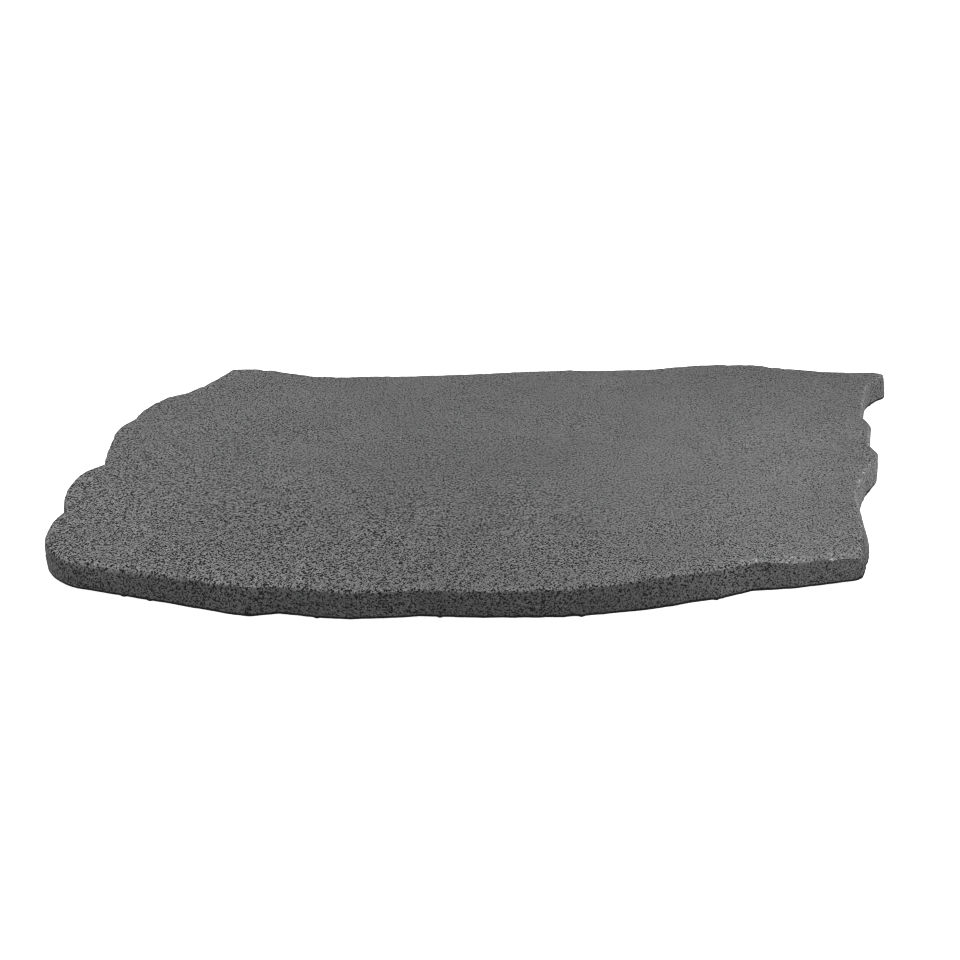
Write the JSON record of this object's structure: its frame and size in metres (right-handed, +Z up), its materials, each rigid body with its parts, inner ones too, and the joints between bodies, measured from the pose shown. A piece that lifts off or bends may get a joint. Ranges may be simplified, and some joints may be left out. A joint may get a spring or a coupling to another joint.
{
  "type": "basalt stone slab",
  "caption": "Thin irregular slab of dark grey basalt with flat top and underside and a hand-broken, scalloped edge, laid flat as a massage or treatment stone.",
  "frame": {"origin": "centre of the bounding box's bottom face, on the plane of the sawn underside that the slab rests on", "axes": "+X along the slab's length, +Y across it from the bowed front edge to the back edge, +Z up through its thickness"},
  "size_m": [0.595, 0.351, 0.02],
  "materials": {
    "basalt": "rough, unpolished, fine-grained, dark grey with darker pits and a few pale flecks"
  },
  "bodies": {
    "root": {"stone_slab": "basalt"}
  },
  "joints": []
}
